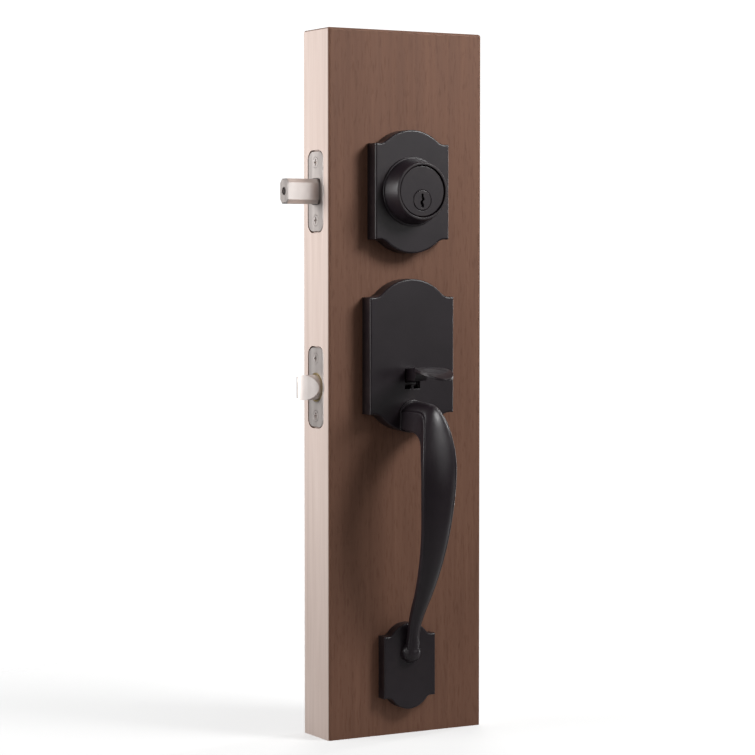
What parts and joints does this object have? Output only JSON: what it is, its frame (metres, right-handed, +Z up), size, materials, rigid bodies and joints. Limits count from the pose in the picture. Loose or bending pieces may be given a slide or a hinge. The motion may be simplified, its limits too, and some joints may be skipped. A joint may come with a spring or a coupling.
{
  "type": "entry handleset with deadbolt",
  "caption": "Thumb-latch pull grip and keyed deadbolt with an inside lever and thumb-turn, fitted to a stained wooden door section.",
  "frame": {"origin": "centre of the door section's bottom face", "axes": "+Z up along the door; -Y faces outside; the bolts leave the edge face at -X"},
  "size_m": [0.1874, 0.137, 0.507],
  "materials": {
    "wood": "brown stained hardwood face, fine straight grain, satin",
    "dark_bronze": "satin near-black bronze finish",
    "satin_nickel": "satin nickel",
    "zinc_steel": "bright zinc-plated steel",
    "yellow_zinc": "yellow chromate on zinc",
    "brass": "machined brass",
    "spring_steel": "drawn spring wire",
    "hardened_steel": "dark hardened steel",
    "bushing_plastic": "matt black acetal"
  },
  "bodies": {
    "door_side": {"cylinder_housing": "dark_bronze", "deadbolt_case": "zinc_steel", "deadbolt_collar": "dark_bronze", "deadbolt_faceplate": "satin_nickel", "deadbolt_faceplate_screws": "satin_nickel", "deadbolt_inside_plate": "dark_bronze", "deadbolt_inside_plate_screws": "dark_bronze", "deadbolt_mounting_plate": "zinc_steel", "deadbolt_mounting_screws": "zinc_steel", "deadbolt_outside_plate": "dark_bronze", "deadbolt_tube": "zinc_steel", "door_section": "wood", "driver_pins": "brass", "driver_springs": "spring_steel", "grip_foot_stud": "zinc_steel", "grip_handle": "dark_bronze", "grip_lower_plate": "dark_bronze", "grip_neck_screw": "zinc_steel", "grip_upper_plate": "dark_bronze", "inside_escutcheon": "dark_bronze", "inside_escutcheon_screws": "dark_bronze", "latch_case": "zinc_steel", "latch_faceplate": "satin_nickel", "latch_faceplate_screws": "satin_nickel", "latch_guide_collar": "yellow_zinc", "latch_spring": "spring_steel", "latch_tube": "yellow_zinc", "lever_bushing": "bushing_plastic", "lever_return_spring": "spring_steel", "lower_sleeve_nut": "dark_bronze", "pin_chamber_cover": "brass", "thumb_pivot_pin": "zinc_steel", "trim_mounting_plate": "zinc_steel", "trim_through_bolts": "zinc_steel"},
    "thumb_turn": {"thumb_turn": "dark_bronze", "thumb_turn_clip": "zinc_steel"},
    "deadbolt_hub": {"deadbolt_hub": "zinc_steel"},
    "deadbolt": {"deadbolt_bolt": "satin_nickel", "bolt_hardened_pin": "hardened_steel", "deadbolt_tail": "zinc_steel"},
    "key_plug": {"key_plug": "dark_bronze", "key_pins": "brass", "plug_retaining_clip": "zinc_steel", "tailpiece": "zinc_steel"},
    "inside_lever": {"inside_lever": "dark_bronze", "lever_set_screw": "hardened_steel", "spindle": "zinc_steel", "lift_driver": "zinc_steel", "lever_retaining_ring": "zinc_steel"},
    "latch_hub": {"latch_hub": "zinc_steel"},
    "latch_bolt": {"latch_bolt": "satin_nickel", "latch_tail": "zinc_steel", "plunger_spring": "spring_steel"},
    "latch_plunger": {"latch_plunger": "satin_nickel"},
    "thumb_piece": {"thumb_piece": "dark_bronze"}
  },
  "joints": [
    {"name": "thumb_turn_turn", "type": "hinge", "parent": "door_side", "child": "thumb_turn", "pos_m": [-0.0015, 0.01905, 0.3852], "axis": [0, 1, 0], "range_deg": [0, 90]},
    {"name": "deadbolt_hub_turn", "type": "hinge", "parent": "door_side", "child": "deadbolt_hub", "pos_m": [-0.0015, 0, 0.3852], "axis": [0, 1, 0], "range_deg": [0, 90]},
    {"name": "deadbolt_throw", "type": "slide", "parent": "door_side", "child": "deadbolt", "axis": [1, 0, 0], "range_m": [0, 0.0254]},
    {"name": "key_plug_turn", "type": "hinge", "parent": "door_side", "child": "key_plug", "pos_m": [-0.0015, -0.01905, 0.3852], "axis": [0, 1, 0], "range_deg": [0, 90]},
    {"name": "inside_lever_turn", "type": "hinge", "parent": "door_side", "child": "inside_lever", "pos_m": [-0.0015, 0.01905, 0.2519], "axis": [0, 1, 0], "range_deg": [0, 45], "stiffness_Nm_per_rad": 0.9, "springref_deg": -34.38, "deforming": ["lever_return_spring"]},
    {"name": "latch_hub_turn", "type": "hinge", "parent": "door_side", "child": "latch_hub", "pos_m": [-0.0015, 0, 0.2519], "axis": [0, 1, 0], "range_deg": [0, 45]},
    {"name": "latch_retract", "type": "slide", "parent": "door_side", "child": "latch_bolt", "axis": [1, 0, 0], "range_m": [0, 0.0127], "stiffness_N_per_m": 200, "springref_m": -0.02, "deforming": ["latch_spring"]},
    {"name": "plunger_press", "type": "slide", "parent": "latch_bolt", "child": "latch_plunger", "axis": [1, 0, 0], "range_m": [0, 0.0095], "stiffness_N_per_m": 120, "springref_m": -0.01, "deforming": ["plunger_spring"]},
    {"name": "thumb_piece_press", "type": "hinge", "parent": "door_side", "child": "thumb_piece", "pos_m": [-0.0015, -0.0253, 0.254], "axis": [1, 0, 0], "range_deg": [0, 15]}
  ],
  "couplings": [
    {"joint": "thumb_turn_turn", "follows": "deadbolt_throw", "rad_per_m": 61.842},
    {"joint": "deadbolt_hub_turn", "follows": "deadbolt_throw", "rad_per_m": 61.842},
    {"joint": "key_plug_turn", "follows": "deadbolt_throw", "rad_per_m": 61.842},
    {"joint": "latch_hub_turn", "follows": "inside_lever_turn", "ratio": 1},
    {"joint": "latch_retract", "follows": "inside_lever_turn", "m_per_rad": 0.01617},
    {"joint": "thumb_piece_press", "follows": "inside_lever_turn", "ratio": 0.33333}
  ]
}
